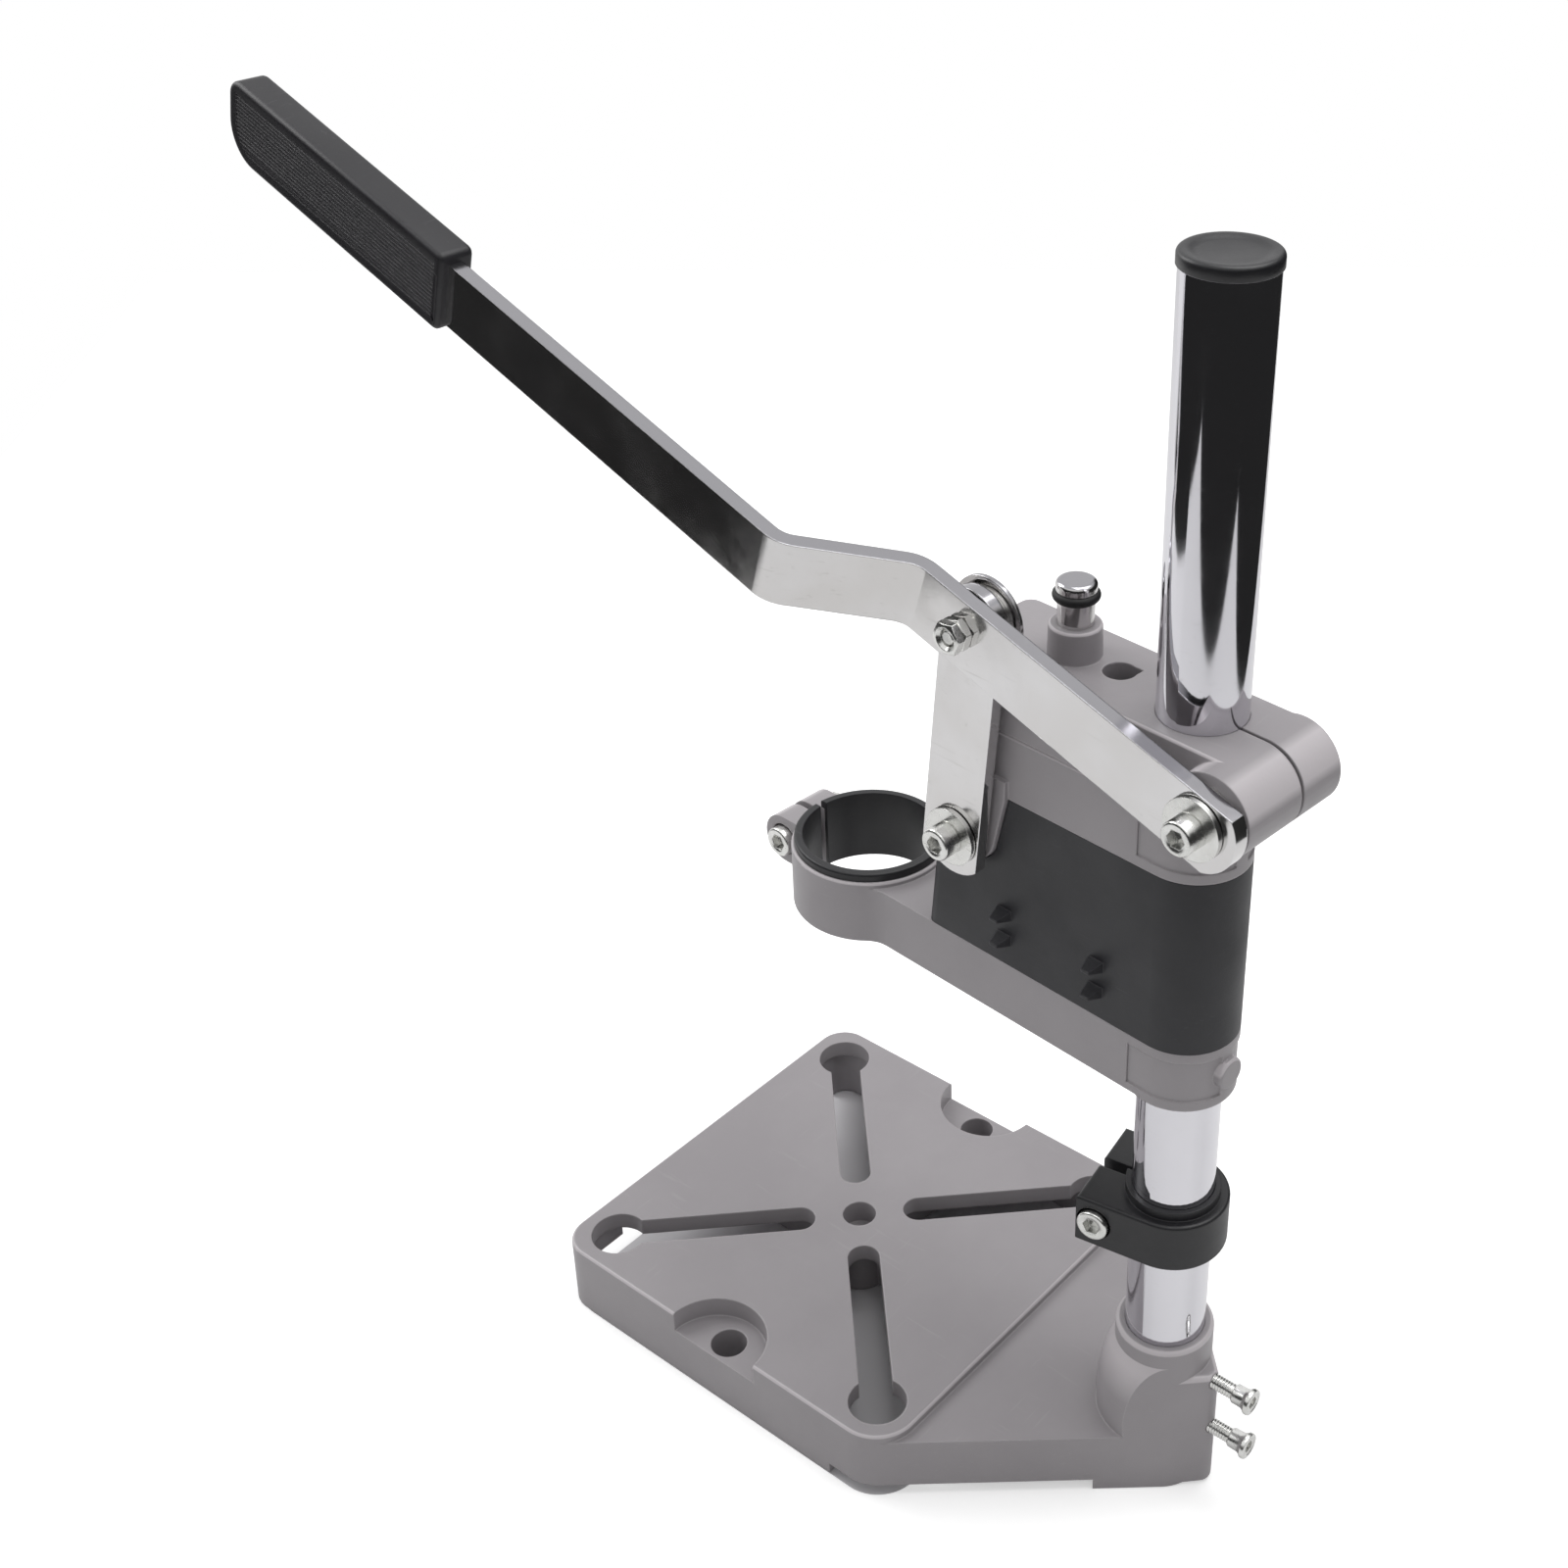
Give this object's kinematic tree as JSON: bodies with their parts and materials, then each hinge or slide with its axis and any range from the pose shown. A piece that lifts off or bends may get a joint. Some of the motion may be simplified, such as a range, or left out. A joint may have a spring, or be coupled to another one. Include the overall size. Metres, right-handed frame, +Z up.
{
  "type": "drill stand",
  "caption": "Bench drill stand: slotted cast base, chrome column, clamped head, sprung carriage with a split drill collar, hand lever with a link, and a depth stop.",
  "frame": {"origin": "column axis in the bench plane, under the base's socket", "axes": "+Z up along the column, -Y from the column towards the work area, +X to the lever's side"},
  "size_m": [0.147, 0.3874, 0.4075],
  "materials": {
    "cast_paint": "satin warm grey paint on a die casting",
    "column_chrome": "polished",
    "zinc_steel": "bright zinc plate",
    "lever_steel": "bright plated flat bar",
    "cover_plastic": "fine grained charcoal",
    "ring_plastic": "black, slightly glossy",
    "grip_plastic": "ribbed soft plastic, near black",
    "rubber": "matt black",
    "spring_steel": "bright drawn wire"
  },
  "bodies": {
    "base": {"base_plate": "cast_paint", "socket_screws": "zinc_steel"},
    "column": {"column_tube": "column_chrome", "column_cap": "ring_plastic"},
    "stop": {"depth_stop_ring": "ring_plastic", "depth_stop_screw": "zinc_steel", "depth_stop_nut": "zinc_steel"},
    "head": {"head_casting": "cast_paint", "fulcrum_bush": "zinc_steel", "fulcrum_washer": "zinc_steel", "fulcrum_bolt": "zinc_steel", "fulcrum_nut": "zinc_steel", "guide_rod": "zinc_steel", "guide_rod_ring": "rubber", "rod_nut": "zinc_steel", "spring_seat": "zinc_steel", "return_spring": "spring_steel"},
    "carriage": {"carriage_casting": "cast_paint", "spring_cover": "cover_plastic", "collar_liner": "ring_plastic", "collar_screw": "zinc_steel", "collar_nut": "zinc_steel", "lower_spacer": "zinc_steel", "lower_washer": "zinc_steel", "lower_bolt": "zinc_steel"},
    "lever": {"lever_bar": "lever_steel", "lever_grip": "grip_plastic", "mid_bolt": "zinc_steel", "mid_fender_washer": "zinc_steel", "mid_spacer": "zinc_steel", "mid_nut": "zinc_steel"},
    "link": {"link_bar": "lever_steel"}
  },
  "joints": [
    {"name": "column_swivel", "type": "hinge", "parent": "base", "child": "column", "pos_m": [0, 0, 0.03], "axis": [0, 0, 1], "range_deg": [-180, 180]},
    {"name": "stop_slide", "type": "slide", "parent": "column", "child": "stop", "axis": [0, 0, -1], "range_m": [0, 0.036]},
    {"name": "head_slide", "type": "slide", "parent": "column", "child": "head", "axis": [0, 0, 1], "range_m": [0, 0.11]},
    {"name": "carriage_slide", "type": "slide", "parent": "head", "child": "carriage", "axis": [0, 0, -1], "range_m": [0, 0.041], "stiffness_N_per_m": 600, "springref_m": -0.05, "deforming": ["return_spring"]},
    {"name": "lever_pivot", "type": "hinge", "parent": "head", "child": "lever", "pos_m": [0.02805, 0.01867, 0.26844], "axis": [0.9966, -0.083, 0], "range_deg": [0, 27.76]},
    {"name": "link_pivot", "type": "hinge", "parent": "lever", "child": "link", "pos_m": [0.01702, -0.06197, 0.29333], "axis": [0.9966, -0.083, 0], "range_deg": [-24.61, 0]}
  ],
  "couplings": [
    {"joint": "lever_pivot", "follows": "carriage_slide", "rad_per_m": 11.813},
    {"joint": "link_pivot", "follows": "carriage_slide", "rad_per_m": -10.472}
  ]
}
